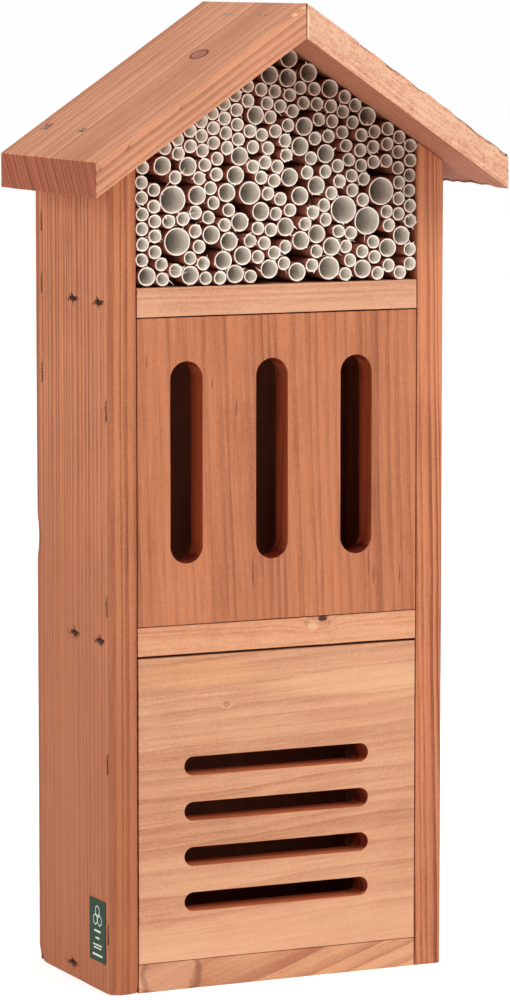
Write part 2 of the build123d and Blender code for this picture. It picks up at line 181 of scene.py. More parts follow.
class Cut:
    """A value worked out at every point of a surface, held by the socket that carries it."""

    def __init__(self, tree, socket=None):
        self.tree, self.socket = tree, socket

    def node(self, kind, settings, values, output=0):
        """A node of this kind: its settings come first, then its sockets' values or links."""
        made = self.tree.nodes.new("ShaderNode" + kind)
        for name, setting in settings.items():
            setattr(made, name, setting)
        for name, value in values.items():
            if isinstance(value, Cut):
                self.tree.links.new(value.socket, made.inputs[name])
            else:
                made.inputs[name].default_value = value
        return Cut(self.tree, made.outputs[output])

    def maths(self, operation, *values):
        return self.node("Math", {"operation": operation}, dict(enumerate(values)))

    def __add__(self, other):
        return self.maths("ADD", self, other)

    def __sub__(self, other):
        return self.maths("SUBTRACT", self, other)

    def __rsub__(self, other):
        return self.maths("SUBTRACT", other, self)

    def __mul__(self, other):
        return self.maths("MULTIPLY", self, other)

    def __truediv__(self, other):
        return self.maths("DIVIDE", self, other)

    def __pow__(self, other):
        return self.maths("POWER", self, other)

    __radd__, __rmul__ = __add__, __mul__

    def rise(self, low, high):
        """0 below low, 1 above high, and a smooth step between."""
        limits = {"Value": self, "From Min": low, "From Max": high}
        return self.node("MapRange", {"interpolation_type": "SMOOTHSTEP"}, limits)

    def grain(self, scale, detail=2.0, rough=0.5):
        """Smooth noise about 0, with this many features to the metre along each axis."""
        place = self.node("Mapping", {}, {"Vector": self, "Scale": scale})
        sockets = {"Vector": place, "Scale": 1.0, "Detail": detail, "Roughness": rough}
        return self.node("TexNoise", {}, sockets) - 0.5

    def blend(self, one, other, kind="MIX"):
        """One colour where this value is 0, the other where it is 1."""
        settings = {"data_type": "RGBA", "blend_type": kind}
        return self.node("Mix", settings, {0: self, 6: one, 7: other}, 2)


def tint(red, green, blue):
    """A colour on the 0 to 255 scale of a paint card, as the light that it sends back."""
    share = np.array([red, green, blue]) / 255
    light = np.where(share > 0.04045, ((share + 0.055) / 1.055) ** 2.4, share / 12.92)
    return (*light.tolist(), 1.0)


def degrees(*angles):
    """Angles in degrees, as the radians that a node takes."""
    return tuple(math.radians(a) for a in angles)


torn_cedar = tint(70, 28, 18)
end_tone = tint(180, 137, 116)
routed_tone = tint(246, 188, 158)
late_share = 0.62            # light that the dark rings of a toned face send back, of the pale
knot_rim = tint(96, 50, 40)
knot_heart = tint(152, 96, 80)
log_along_x = degrees(0, -90, 0)


def cedar(name, pale, dark, turn, pith, ring, waver=1.5 * mm, figure=0.5, streak=1.2,
          fibre=0.5, saw_way=(0, 0, 1), saw_gap=1.3 * mm, saw_depth=0.3, fuzz=0.0,
          knots=(), patches=(), faces=()):
    """Sawn cedar. A log is laid through the board, along its own Z once the board is turned and
    moved by pith. Its rings are (distance from the log's axis + waver) / ring, whose fraction
    darkens towards the late wood. Fibres are noise drawn out along the log, and a knot bends
    the rings round itself and darkens its own rim and heart. A patch is (centre, size, colour,
    strength), and fades with the distance from its centre in units of size. A face is (way,
    colour, strength): painted shade, one tone for the whole face that looks that way, in place
    of the light that face gets."""
    finish = bpy.data.materials.new(name)
    finish.use_nodes = True
    tree = finish.node_tree
    start = Cut(tree)
    place = start.node("TexCoord", {}, {}, "Object")
    log = place.node("Mapping", {}, {"Vector": place, "Rotation": turn, "Location": pith})
    x, y = (log.node("SeparateXYZ", {}, {"Vector": log}, axis) for axis in (0, 1))
    radius = (x * x + y * y) ** 0.5
    radius = radius + log.grain((16, 16, 5), 1.0) * (waver * 4) + log.grain((70, 70, 12)) * waver
    heart, rim = 0.0, 0.0
    for centre, size, bend, darkness in knots:
        scale = tuple(1 / s for s in size)
        shift = tuple(-c / s for c, s in zip(centre, size))
        near = place.node("Mapping", {}, {"Vector": place, "Scale": scale, "Location": shift})
        far = near.node("VectorMath", {"operation": "LENGTH"}, {"Vector": near}, "Value")
        far = far + place.grain((160, 160, 160)) * 0.3
        radius = radius + (0 - far * far).maths("EXPONENT", 0 - far * far * 0.35) * (bend * ring)
        rim = rim + far.rise(0.8, 0.95) * (1 - far.rise(1.0, 1.15)) * darkness
        heart = heart + (1 - far.rise(0.85, 1.0)) * darkness
    turns = radius / ring
    drift = turns.node("TexNoise", {"noise_dimensions": "1D"}, {"W": turns * 0.37, "Scale": 1.0})
    turns = turns + drift * 2.4
    phase = turns.maths("FRACT", turns)
    year = turns.node("TexWhiteNoise", {"noise_dimensions": "1D"}, {"W": turns.maths("FLOOR", turns)})
    late = phase.rise(0.25, 0.93) * (1 - phase.rise(0.95, 1.0)) * (year * 0.8 + 0.5)
    broad = log.grain((38, 38, 3.5), 3.0)
    fine = log.grain((900, 900, 26), 3.0, 0.6)
    thread = log.grain((1900, 1900, 60), 1.0)
    pores = (log.grain((1300, 1300, 90), 1.0)).rise(0.2, 0.34)
    speck, cloud = place.grain((1150, 1150, 1150), 2.0), place.grain((24, 24, 24), 3.0)
    along = place.node("VectorMath", {"operation": "DOT_PRODUCT"}, {0: place, 1: saw_way}, "Value")
    wander = place.grain((60, 60, 60)) * 5
    teeth = (along * (2 * math.pi / saw_gap) + wander)
    teeth = teeth.maths("SINE", teeth) * place.grain((90, 90, 90), 3.0).rise(-0.1, 0.25)
    wear = start.node("Attribute", {"attribute_name": "wear"}, {}, "Fac")
    turned = Euler(turn).to_matrix()
    fibre_way = tuple(turned.inverted() @ Vector((0, 0, 1)))
    tone = 0.42 + broad * streak + (late - 0.3) * figure + fine * fibre + thread * (fibre * 0.5)
    torn = place.grain((640, 640, 640), 3.0, 0.65) + log.grain((900, 900, 160), 2.0) * 0.8
    tone = tone + teeth * (saw_depth * 0.12) + pores * 0.25 - torn * fuzz
    tone = tone + speck * (0.3 + fibre * 0.4) + cloud * 0.45
    across = start.node("TexCoord", {}, {}, "Normal")
    towards = {0: across, 1: fibre_way}
    cut = across.node("VectorMath", {"operation": "DOT_PRODUCT"}, towards, "Value")
    end_grain = cut.maths("ABSOLUTE", cut).rise(0.45, 0.75)
    tone = tone + end_grain * (late - 0.4) * 1.6
    colour = tone.rise(-0.1, 1.15).blend(pale, dark)
    colour = end_grain.blend(colour, end_tone, "MULTIPLY")
    if knots:
        colour = rim.blend((heart * (0.7 + fine)).blend(colour, knot_heart), knot_rim)
    # Painted shade: each face listed in faces gets a tone of its own, set by the way it looks, in
    # place of the light it would get.
    for way, stain_and_painted_shade, strength in faces:
        towards = {0: across, 1: way}
        facing = across.node("VectorMath", {"operation": "DOT_PRODUCT"}, towards, "Value")
        painted_face_shade = tone.rise(-0.1, 1.15).blend(stain_and_painted_shade, (*(late_share * c for c in stain_and_painted_shade[:3]), 1.0))
        colour = (facing.rise(0.6, 0.85) * strength).blend(colour, painted_face_shade)
    for centre, size, stain_and_painted_shade, strength in patches:
        scale = tuple(1 / s for s in size)
        shift = tuple(-c / s for c, s in zip(centre, size))
        near = place.node("Mapping", {}, {"Vector": place, "Scale": scale, "Location": shift})
        far = near.node("VectorMath", {"operation": "LENGTH"}, {"Vector": near}, "Value")
        spread = 1 - (far + fine * 0.5 + broad * 0.6).rise(0.6, 1.1)
        colour = (spread * strength).blend(colour, stain_and_painted_shade)
    routed = start.node("Attribute", {"attribute_name": "routed"}, {}, "Fac")
    colour = routed.blend(colour, routed_tone, "MULTIPLY")
    colour = (wear * (0.9 + fine)).rise(0.1, 1.0).blend(colour, torn_cedar)
    height = fine * 0.6 + thread * 0.5 - pores * 0.8 - late * 0.3
    height = height + teeth * saw_depth + torn * (fuzz * 1.4)
    sockets = {"Height": height, "Strength": 0.45, "Distance": 0.35 * mm}
    bump = start.node("Bump", {}, sockets)
    shader = tree.nodes["Principled BSDF"]
    tree.links.new(colour.socket, shader.inputs["Base Color"])
    tree.links.new(bump.socket, shader.inputs["Normal"])
    tree.links.new((0.78 + fine * 0.3 - late * 0.08).socket, shader.inputs["Roughness"])
    shader.inputs["Specular IOR Level"].default_value = 0.3
    return finish


low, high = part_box("bottom_board")
bottom = Board(*soft_block(low, high)).saw(0.35 * mm, 3)
bottom_cedar = cedar("bottom_cedar", tint(214, 159, 119), tint(162, 98, 68), degrees(0, -72, 0),
                     (0.02, 0.06, 0), 5.5 * mm, figure=0.4,
                     knots=[((low[0] + 0.018, low[1], high[2] - 0.006),
                             (0.016, 0.02, 0.014), 1, 0.5)])
set_piece("bottom_board_wood", bottom, bottom_cedar, ["bottom_board"])

# ---------------------------------------------------------------- side boards
# Two upright cedar boards, the full height of the walls, with their tops cut to the roof's
# slope. Staples go in through their outer faces, and their crowns have torn the wood.
roof_angle = math.radians(34)
roof_slope = math.tan(roof_angle)
slant_reach = 30 * mm        # the slanted top is let in over this height of the board


def bodies_of(node):
    """Lowest and highest corners of each separate body in a CAD node. Every corner takes the
    lowest number among the corners that it shares a triangle with, until none changes."""
    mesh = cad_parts[node].data
    points = np.empty(len(mesh.vertices) * 3)
    mesh.vertices.foreach_get("co", points)
    points = points.reshape(-1, 3)
    mesh.calc_loop_triangles()
    triangles = np.empty(len(mesh.loop_triangles) * 3, int)
    mesh.loop_triangles.foreach_get("vertices", triangles)
    _, place = np.unique(np.round(points / (0.002 * mm)), axis=0, return_inverse=True)
    place = place.reshape(-1)
    triangles = place[triangles].reshape(-1, 3)
    label, last = np.arange(place.max() + 1), None
    while last is None or (label != last).any():
        last = label.copy()
        np.minimum.at(label, triangles.ravel(), np.repeat(label[triangles].min(axis=1), 3))
        label = label[label]
    label = label[place]
    return [(points[label == body].min(axis=0), points[label == body].max(axis=0))
            for body in np.unique(label)]


def fine_marks(boxes, margin, step):
    """Extra grid lines, for each axis, through and round the boxes of the staples."""
    marks = [[], [], []]
    for low, high in boxes:
        for axis in range(3):
            if high[axis] - low[axis] < 20 * mm:
                start, stop = low[axis] - margin, high[axis] + margin
                marks[axis] += list(np.arange(start, stop, step))
    return [sorted(set(np.round(np.array(m) / (0.25 * mm)).astype(int) * 0.25 * mm)) for m in marks]


def side_board(side, seed):
    """A side board whose top is sheared down to the roof's slope. Over each staple the wood is
    torn: a ragged blot where the crown lies across the grain, a slit where it lies along it."""
    low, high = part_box("side_board_" + side)
    across = bodies_of(f"shelf_staples_{side}")
    along = bodies_of(f"panel_staples_{side}") + bodies_of(f"back_staples_{side}")
    crowns = [(np.array([0, a[1], a[2]]), np.array([1, b[1], b[2]])) for a, b in across + along]
    board = Board(*soft_block(low, high, step=2 * mm, marks=fine_marks(crowns, 1.8 * mm, 0.6 * mm)))
    board.saw(0.3 * mm, seed)
    outer = low[0] if side == "left" else high[0]
    for number, (s_low, s_high) in enumerate(across):
        middle = (outer, (s_low[1] + s_high[1]) / 2, (s_low[2] + s_high[2]) / 2)
        lean = (number % 2 - 0.5) * 1.5 * mm
        board.press(middle, (4 * mm, 5.6 * mm, 1.1 * mm), 1.5 * mm, ragged=0.16, power=6)
        spot = (outer, middle[1] + lean, middle[2] + 1.2 * mm - abs(lean))
        board.press(spot, (4 * mm, 1.6 * mm, 2.6 * mm), 0.7 * mm, ragged=0.3, power=5)
    for s_low, s_high in along:
        middle = (outer, (s_low[1] + s_high[1]) / 2, (s_low[2] + s_high[2]) / 2)
        board.press(middle, (4 * mm, 1.1 * mm, 5.8 * mm), 1.4 * mm, ragged=0.1, power=6)
    if side == "left":
        board.press((outer, high[1], 0.2245), (6 * mm, 6 * mm, 7 * mm), 1.4 * mm, 0, 2)
        board.press((outer, high[1], low[2]), (5 * mm, 5 * mm, 5 * mm), 1.8 * mm, 0, 2)
        board.press((outer, low[1], low[2]), (3 * mm, 3 * mm, 3 * mm), 0.9 * mm, 0, 2)
        board.press((high[0], low[1], low[2]), (3 * mm, 3 * mm, 3 * mm), 0.7 * mm, 0, 2)
    x, z = board.points[:, 0], board.points[:, 2]
    reach = np.clip((z - high[2] + slant_reach) / slant_reach, 0, 1)
    inner = min(abs(low[0]), abs(high[0]))
    board.points[:, 2] = z - (np.abs(x) - inner) * roof_slope * reach
    return board


low_stain = [((-0.114, 0.03, 0.03), (1, 0.085, 0.25), tint(150, 84, 52), 0.58)]
left_cedar = cedar("left_side_cedar", tint(184, 114, 75), tint(126, 66, 40), (0, 0, 0),
                   (0.407, 0.30, 0), 3.4 * mm, waver=0.4 * mm, figure=0.8, streak=0.6, fibre=0.8,
                   patches=low_stain)
right_cedar = cedar("right_side_cedar", tint(194, 121, 82), tint(134, 68, 42), degrees(0, 1, 0),
                    (0.15, 0.32, 0), 2.2 * mm, waver=0.6 * mm, figure=0.8, streak=0.8, fibre=0.9,
                    patches=[((0.086, -0.035, 0.37), (0.02, 0.02, 0.09), tint(222, 148, 106), 0.2)])
set_piece("left_side_wood", side_board("left", 11), left_cedar, ["side_board_left"])
set_piece("right_side_wood", side_board("right", 12), right_cedar,
          ["side_board_right"])

# ---------------------------------------------------------------- back panel
# A thinner rough-sawn cedar panel, let in between the side boards and stapled through them.
# It backs the tubes, closes the lower bays and carries the hanger.
low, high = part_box("back_panel")
# The dark patch on the panel's front face is painted shade: it darkens the inside of the bays, seen
# through the slots and between the tubes.
back_cedar = cedar("back_cedar", tint(180, 110, 72), tint(132, 70, 43), (0, 0, 0),
                   (0.02, 0.03, 0), 5 * mm, figure=0.6,
                   patches=[((0, low[1], 0.2), (1, 0.008, 1), tint(110, 50, 30), 0.85)])
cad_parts["back_panel"].data.materials.clear()
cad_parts["back_panel"].data.materials.append(back_cedar)

# ---------------------------------------------------------------- shelves
# Two sawn cedar boards across the box, stapled through the side boards. Their front edges stay
# in sight, and the middle one was cut through a loose knot.
shelf_looks = {
    "middle_shelf": (tint(215, 158, 120), tint(176, 108, 72), 21),
    "upper_shelf": (tint(206, 154, 120), tint(168, 105, 72), 22),
}
for shelf, (pale, dark, seed) in shelf_looks.items():
    low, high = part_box(shelf)
    knot, torn = [], []
    if shelf == "middle_shelf":
        knot = [((0.022, low[1], high[2] - 0.003), (0.007, 0.02, 0.004), 1, 0.25)]
        torn = [((0.0195, low[1], high[2] - 0.005), (0.0034, 0.02, 0.0026),
                 tint(240, 200, 162), 0.32),
                ((0.025, low[1], high[2] - 0.0012), (0.0031, 0.02, 0.0019),
                 tint(58, 22, 18), 0.95)]
    wood = cedar(shelf + "_cedar", pale, dark, log_along_x, (0.03, 0.05, 0), 4.5 * mm,
                 figure=0.3, saw_way=(1, 0, 0.2), saw_depth=0.7, fuzz=0.5, knots=knot, patches=torn)
    set_piece(shelf + "_wood", Board(*soft_block(low, high)).saw(0.4 * mm, seed), wood,
              [shelf])

# ---------------------------------------------------------------- slotted panels
# Two planed cedar panels close the lower bays, stapled through the side boards. Their
# round-ended slots were cut with a router.
panel_arris = 0.5 * mm
cell_step = 1.5 * mm


def slotted_panel(node, slots, seed):
    """One cell for each slot, (low x, low z, high x, high z) of the slot first. Round a cell u
    runs along its border, and v goes from the border to the slot's rim, through the slot and
    back over the rear face. A border point p meets the rim at q + r * (p - q) / |p - q|, where
    q is the nearest point of the slot's centre line. A strip closes the panel's own edge."""
    low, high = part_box(node)
    a = panel_arris
    tall = slots[0][3] - slots[0][1] > slots[0][2] - slots[0][0]
    axis = 0 if tall else 1
    inner_low, inner_high = np.array([low[0] + a, low[2] + a]), np.array([high[0] - a, high[2] - a])
    slots = sorted(slots, key=lambda s: s[axis])
    cuts = [inner_low[axis]]
    cuts += [(one[axis + 2] + two[axis]) / 2 for one, two in zip(slots, slots[1:])]
    cuts += [inner_high[axis]]
    points, quads, count = [], [], 0
    for number, slot in enumerate(slots):
        c_low, c_high = inner_low.copy(), inner_high.copy()
        c_low[axis], c_high[axis] = cuts[number], cuts[number + 1]
        sides = [int(math.ceil((c_high[k] - c_low[k]) / cell_step)) for k in (0, 1)]
        across = np.linspace(c_low[0], c_high[0], sides[0] + 1)
        up = np.linspace(c_low[1], c_high[1], sides[1] + 1)
        border = np.concatenate([
            np.stack([across[:-1], np.full(sides[0], c_low[1])], 1),
            np.stack([np.full(sides[1], c_high[0]), up[:-1]], 1),
            np.stack([across[:0:-1], np.full(sides[0], c_high[1])], 1),
            np.stack([np.full(sides[1], c_low[0]), up[:0:-1]], 1)])
        s_low, s_high = np.array(slot[:2]), np.array(slot[2:])
        radius = (s_high - s_low).min() / 2
        spine = np.clip(border, s_low + radius, s_high - radius)
        way = (border - spine) / np.linalg.norm(border - spine, axis=1, keepdims=True)
        shares = np.linspace(0, 1, 19) ** 0.8
        turn = np.radians(np.linspace(0, 90, 5))[1:]
        depth = np.linspace(low[1] + a, high[1] - a, 9)[1:]
        rim = spine + way * (radius + a)
        rings = [(border + (rim - border) * share, low[1]) for share in shares]
        rings += [(spine + way * (radius + a - a * math.sin(t)), low[1] + a - a * math.cos(t))
                  for t in turn]
        rings += [(spine + way * radius, y) for y in depth]
        rings += [(spine + way * (radius + a - a * math.cos(t)), high[1] - a + a * math.sin(t))
                  for t in turn]
        rings += [(rim + (border - rim) * share, high[1]) for share in np.linspace(0, 1, 8)[1:]]
        ring_points = np.stack([np.column_stack([flat[:, 0], np.full(len(flat), y), flat[:, 1]])
                                for flat, y in rings], 1)
        points.append(ring_points.reshape(-1, 3))
        quads.append(grid_faces(*ring_points.shape[:2], closed=True) + count)
        count += ring_points.shape[0] * ring_points.shape[1]
    corner = [(inner_low[0], inner_low[1], 180), (inner_high[0], inner_low[1], 270),
              (inner_high[0], inner_high[1], 0), (inner_low[0], inner_high[1], 90)]
    strip, ways = [], []
    for number, (x, z, heading) in enumerate(corner):
        for bend in (0, 22.5, 45, 67.5, 90):
            strip.append((x, z))
            ways.append(math.radians(heading + bend))
        run = number % 2
        stops = cuts[1:-1] if run == axis else []
        start, stop = corner[number][run], corner[(number + 1) % 4][run]
        ends = sorted([start, *stops, stop], reverse=bool(start > stop))
        for one, two in zip(ends, ends[1:]):
            n = int(math.ceil((abs(two - one)) / cell_step - 1e-9))
            inside = np.linspace(one, two, n + 1)[1:]
            inside = inside[:-1] if two == stop else inside
            for place in inside:
                spot = [x, z]
                spot[run] = place
                strip.append(tuple(spot))
                ways.append(math.radians(heading + 90))
    strip = np.array(strip)
    heading = np.column_stack([np.cos(ways), np.sin(ways)])
    turn = np.radians([0, 30, 60, 90])
    rings = [(strip + heading * a * math.sin(t), low[1] + a - a * math.cos(t)) for t in turn]
    rings += [(strip + heading * a, y) for y in np.linspace(low[1] + a, high[1] - a, 7)[1:-1]]
    rings += [(strip + heading * a * math.cos(t), high[1] - a + a * math.sin(t)) for t in turn]
    ring_points = np.stack([np.column_stack([flat[:, 0], np.full(len(flat), y), flat[:, 1]])
                            for flat, y in rings], 1)
    points.append(ring_points.reshape(-1, 3))
    quads.append(grid_faces(*ring_points.shape[:2], closed=True)[:, ::-1] + count)
    points, quads = weld(np.concatenate(points), np.concatenate(quads))
    panel = Board(points, quads).saw(0.25 * mm, seed)
    off_spine = [np.hypot(*(panel.points[:, [0, 2]] - np.clip(
        panel.points[:, [0, 2]], np.array(s[:2]) + radius, np.array(s[2:]) - radius)).T)
        for s in slots]
    panel.routed = (np.min(off_spine, axis=0) < radius + a * 0.6).astype(float)
    return panel


side_gap = 0.3 * mm          # between a panel and a side board
tall_slot_width = 17.4 * mm
long_slot_height = 9.3 * mm

low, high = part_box("upper_slotted_panel")
middles = np.linspace(low[0] - side_gap + 27.3 * mm, high[0] + side_gap - 34.7 * mm, 3)
tall_slots = [(x - tall_slot_width / 2, low[2] + 31.5 * mm, x + tall_slot_width / 2,
               high[2] - 22.5 * mm) for x in middles]
cracks = [((x * mm, low[1], high[2] - z * mm), (0.5 * mm, 4 * mm, size * mm), tint(112, 56, 36), 0.7)
          for x, z, size in [(-14.5, 131, 9), (-23.6, 47, 5), (-37, 34, 3), (51, 130, 8),
                             (54, 136, 6), (69, 137, 6), (-73, 22, 4)]]
upper_cedar = cedar("upper_panel_cedar", tint(189, 118, 80), tint(136, 75, 47),
                    degrees(0, 2, 0), (0.25, 0.25, 0), 4.6 * mm, waver=1.2 * mm, figure=0.3,
                    streak=0.8, fibre=0.8, saw_depth=0.2, patches=cracks)
set_piece("upper_panel_wood", slotted_panel("upper_slotted_panel", tall_slots, 41), upper_cedar,
          ["upper_slotted_panel"])

low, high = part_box("lower_slotted_panel")
ends = low[0] - side_gap + 26.0 * mm, high[0] + side_gap - 27.6 * mm
middles = np.linspace(low[2] + 30.0 * mm, high[2] - 56.5 * mm, 4)
long_slots = [(ends[0], z - long_slot_height / 2, ends[1], z + long_slot_height / 2)
              for z in middles]
knots = [((low[0] + 0.049, low[1], high[2] - 0.026), (0.0017, 0.01, 0.0014), 0.6, 0.55)]
sapwood = [((0, low[1], low[2]), (0.2, 0.02, 0.024), tint(222, 170, 132), 0.4),
           ((0.06, low[1], high[2] - 0.018), (0.07, 0.02, 0.008), tint(232, 184, 140), 0.3),
           ((-0.045, low[1], high[2] - 0.009), (0.04, 0.02, 0.008), tint(216, 152, 102), 0.35),
           ((0.06, low[1], high[2] - 0.036), (0.05, 0.02, 0.004), tint(178, 116, 84), 0.3)]
lower_cedar = cedar("lower_panel_cedar", tint(208, 155, 119), tint(164, 104, 72),
                    degrees(0, -87, 0), (0.01, -0.03, 0), 6 * mm, waver=3 * mm, figure=0.25,
                    streak=0.7, fibre=0.7, saw_way=(1, 0, 0), saw_depth=0.5, knots=knots,
                    patches=sapwood)
set_piece("lower_panel_wood", slotted_panel("lower_slotted_panel", long_slots, 42), lower_cedar,
          ["lower_slotted_panel"])

# ---------------------------------------------------------------- paper tubes
# Wound paper tubes of three sizes, laid on top of each other until the gable is full. They are
# white inside and at their cut mouths, whose edges are frayed, and brown outside.
wall = 0.7 * mm
soft_rim = 0.16 * mm         # rounding of a cut rim


def tube_row(node, seed, segments, depths, oval, ragged):
    """The tubes of a CAD node, one after the other. Round a tube u is the angle, and v runs
    along its section: outside from the back to the mouth, over the rim, and back inside.
    Radius = R * (1 - oval * (1 + cos(2u + a)) / 2), and the mouth lies deeper by a wave."""
    boxes = np.array(bodies_of(node))
    draw = np.random.default_rng(seed)
    low, high = boxes[:, 0], boxes[:, 1]
    tubes = len(boxes)
    middle, radius = (low + high) / 2, (high - low)[:, 0] / 2
    u = np.linspace(0, 2 * math.pi, segments, endpoint=False)[None, :]
    turn = draw.uniform(0, 2 * math.pi, (3, tubes, 1))
    squeeze = draw.uniform(0.2, 1, (tubes, 1)) * oval
    shape = 1 - squeeze * (1 + np.cos(2 * u + turn[0])) / 2
    frayed = ragged * draw.uniform(0.1, 1, (tubes, 1)) ** 2
    wave = (2 + np.sin(3 * u + turn[1]) + np.sin(5 * u + turn[2])) / 4
    mouth = low[:, 1, None] + frayed * wave
    feather = draw.uniform(0, 0.5, shape.shape) * frayed * 0.6
    back = high[:, 1, None] - 0.3 * mm
    outside = [(0, d, 0.0, 0.0) for d in depths[::-1]]
    rim = [(soft_rim, 0.0, 1.0, 0.0), (wall - soft_rim, 0.0, 1.0, 1.0)]
    inside = [(wall, d, 0.0, 1.0) for d in depths]
    rings, rims, linings = [], [], []
    for inset, depth, on_rim, within in outside + rim + inside:
        r = radius[:, None] * shape - inset - feather * on_rim - feather * (depth < 0.3 * mm) / 2
        y = np.minimum(mouth + depth, back)
        rings.append(np.stack([middle[:, 0, None] + r * np.cos(u), y,
                               middle[:, 2, None] + r * np.sin(u)], -1))
        rims.append(np.full(shape.shape, on_rim))
        linings.append(np.full(shape.shape, within))
    points = np.stack(rings, 2)
    count = points.shape[1] * points.shape[2]
    one = grid_faces(points.shape[1], points.shape[2] + 1, closed=True)
    column, row = one // (points.shape[2] + 1), one % (points.shape[2] + 1) % points.shape[2]
    one = (column * points.shape[2] + row)[:, ::-1]
    faces = (one[None] + (np.arange(tubes) * count)[:, None, None]).reshape(-1, 4)
    return points.reshape(-1, 3), faces, np.stack(rims, 2).ravel(), np.stack(linings, 2).ravel()


def frayed_fibres(nodes, seed, share, most, longest, widest):
    """Torn threads of paper on the rims. A thread leaves its rim at an angle, curls as it goes,
    and narrows: its section is a flat diamond carried along p + t * way + t * t * curl."""
    draw = np.random.default_rng(seed)
    boxes = np.array([box for node in nodes for box in bodies_of(node)])
    boxes = boxes[draw.uniform(size=len(boxes)) < share]
    boxes = np.repeat(boxes, draw.integers(1, most, len(boxes)), axis=0)
    n = len(boxes)
    middle, radius = boxes.mean(axis=1), (boxes[:, 1] - boxes[:, 0])[:, 0] / 2 - wall / 2
    angle = draw.uniform(0, 2 * math.pi, n)
    start = np.stack([middle[:, 0] + radius * np.cos(angle), boxes[:, 0, 1] + 0.15 * mm,
                      middle[:, 2] + radius * np.sin(angle)], -1)
    heading = angle + draw.normal(0, 1.3, n)
    length = draw.uniform(0.3, 1, n) * longest
    way = np.stack([np.cos(heading), draw.uniform(-0.55, 0.05, n), np.sin(heading)], -1)
    curl = draw.normal(0, 0.5, (n, 3)) * [1, 0.3, 1]
    t = np.linspace(0, 1, 5)
    path = start[:, None] + length[:, None, None] * (way[:, None] * t[:, None]
                                                     + curl[:, None] * (t ** 2)[:, None])
    side = np.cross(way, [0, 1, 0])
    side /= np.linalg.norm(side, axis=1, keepdims=True)
    width = (draw.uniform(0.3, 1, n) * widest)[:, None, None] * (1 - t ** 2 * 0.9)[:, None]
    thin = 0.06 * mm * (1 - t * 0.7)[:, None]
    up = np.array([0.0, 1.0, 0.0])
    ring = [path + side[:, None] * width, path + up * thin, path - side[:, None] * width,
            path - up * thin]
    points = np.stack(ring, 1)
    one = grid_faces(4, 5, closed=True)
    caps = np.array([[0, 5, 10, 15], [19, 14, 9, 4]])
    one = np.concatenate([one, caps])
    faces = (one[None] + (np.arange(n) * 20)[:, None, None]).reshape(-1, 4)
    return points.reshape(-1, 3), faces, np.ones(n * 20), np.zeros(n * 20)


paper = bpy.data.materials.new("tube_paper")
paper.use_nodes = True
tree = paper.node_tree
start = Cut(tree)
place = start.node("TexCoord", {}, {}, "Object")
rim = start.node("Attribute", {"attribute_name": "rim"}, {}, "Fac")
inside = start.node("Attribute", {"attribute_name": "lining"}, {}, "Fac")
cloudy, speckle = place.grain((260, 120, 260), 3.0), place.grain((1500, 700, 1500), 2.0)
outer = (cloudy * 1.6 + 0.5).rise(0, 1).blend(tint(184, 114, 88), tint(132, 78, 60))
lining = (cloudy * 1.4 + speckle + 0.5).rise(0, 1).blend(tint(245, 239, 230), tint(228, 219, 207))
cut = (speckle * 2 + 0.3).rise(0, 1).blend(tint(242, 233, 222), tint(220, 202, 182))
colour = rim.rise(0.1, 0.7).blend(inside.rise(0.3, 0.7).blend(outer, lining), cut)
roof_underside = 0.478       # height of the plane just under the right roof board, at the ridge
shade_depth = 0.062          # painted shadow of that board: the tubes under it are darkened down to this depth
# Painted shadow of the right roof board: the paper is darkened close under its plane.
plane = {0: place, 1: (roof_slope, 0, 1)}
below = roof_underside - place.node("VectorMath", {"operation": "DOT_PRODUCT"}, plane, "Value")
painted_roof_shadow = (1 - (below + cloudy * 0.01).rise(0, shade_depth)) * 0.68
colour = painted_roof_shadow.blend(colour, tint(200, 174, 158), "MULTIPLY")
bump = start.node("Bump", {}, {"Height": speckle + cloudy, "Strength": 0.3, "Distance": 0.2 * mm})
shader = tree.nodes["Principled BSDF"]
tree.links.new(colour.socket, shader.inputs["Base Color"])
tree.links.new(bump.socket, shader.inputs["Normal"])
shader.inputs["Roughness"].default_value = 0.85
shader.inputs["Specular IOR Level"].default_value = 0.2


def set_tubes(name, surface, nodes, smooth=True):
    """Puts a worked-out paper surface into a mesh, with where it is rim and where lining."""
    points, faces, rims, linings = surface
    mesh = bpy.data.meshes.new(name)
    mesh.from_pydata(points.tolist(), [], faces.tolist())
    mesh.attributes.new("rim", "FLOAT", "POINT").data.foreach_set("value", rims)
    mesh.attributes.new("lining", "FLOAT", "POINT").data.foreach_set("value", linings)
    mesh.polygons.foreach_set("use_smooth", np.full(len(mesh.polygons), smooth))
    mesh.materials.append(paper)
    piece = bpy.data.objects.new(name, mesh)
    bpy.context.collection.objects.link(piece)
    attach(piece, "root")
    if nodes:
        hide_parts(*nodes)


large_nodes = [f"large_tube_{n}" for n in range(1, 8)]
medium_nodes = [f"medium_tubes_row_{n}" for n in range(1, 8)]
small_nodes = [f"small_tubes_layer_{n}" for n in range(1, 5)]
long_wall = np.array([0.25, 2, 8, 30, 200]) * mm
for number, node in enumerate(large_nodes + medium_nodes):
    surface = tube_row(node, 60 + number, 32, long_wall, 0.025, 0.5 * mm)
    set_tubes(node + "_paper", surface, [node])
for number, node in enumerate(small_nodes):
    surface = tube_row(node, 80 + number, 20, np.array([0.2, 200]) * mm, 0.05, 0.6 * mm)
    set_tubes(node + "_paper", surface, [node])
every_tube = large_nodes + medium_nodes + small_nodes
threads = frayed_fibres(every_tube, 90, 0.3, 4, 3.4 * mm, 0.26 * mm)
tufts = frayed_fibres(every_tube, 91, 0.6, 9, 1.3 * mm, 0.5 * mm)
set_tubes("frayed_rim_threads", threads, [], smooth=False)
set_tubes("frayed_rim_tufts", tufts, [], smooth=False)

# ---------------------------------------------------------------- roof boards
# Two cedar boards that meet in a mitre at the ridge, plumb-cut at the eaves. They are stapled
# down into the side boards and across the ridge, and their sawn front edges are chipped.


